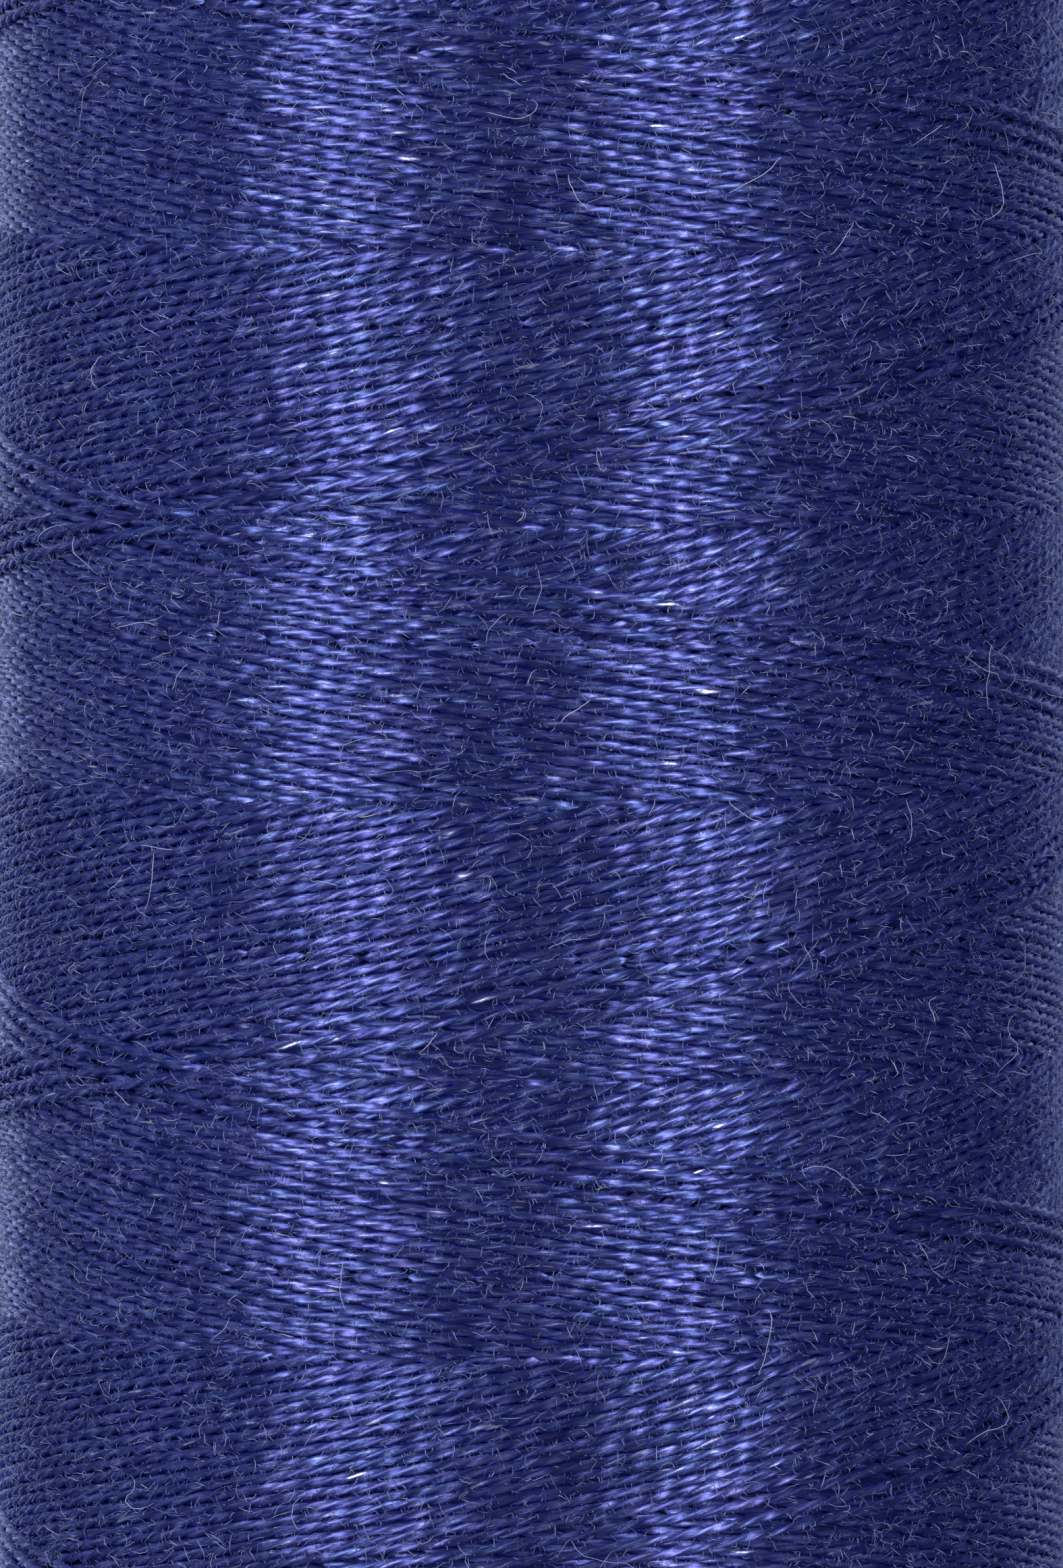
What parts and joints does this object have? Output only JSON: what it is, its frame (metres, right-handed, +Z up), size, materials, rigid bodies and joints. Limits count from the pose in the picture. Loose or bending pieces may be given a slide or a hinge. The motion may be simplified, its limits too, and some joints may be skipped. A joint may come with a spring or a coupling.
{
  "type": "spool of sewing thread",
  "caption": "Small spool of cross-wound blue sewing thread with a snap base that locks the thread end and a through hole for a spool pin.",
  "frame": {"origin": "centre of the base's underside, on the spindle axis", "axes": "+Z up the spindle axis from the snap base to the cap; the thread's loose end tucks into the lock on the +Y, -X side"},
  "size_m": [0.0234, 0.0234, 0.0556],
  "materials": {
    "core_plastic": "satin moulded",
    "label_paper": "matt coated",
    "thread": "matt spun thread"
  },
  "bodies": {
    "spool": {"barrel": "core_plastic", "top_cap": "core_plastic", "top_label": "label_paper", "thread_winding": "thread", "thread_start": "thread", "thread_tail": "thread"},
    "base": {"snap_base": "core_plastic", "base_label": "label_paper"}
  },
  "joints": [
    {"name": "base_snap", "type": "slide", "parent": "spool", "child": "base", "axis": [0, 0, -1], "range_m": [0, 0.0016]}
  ]
}
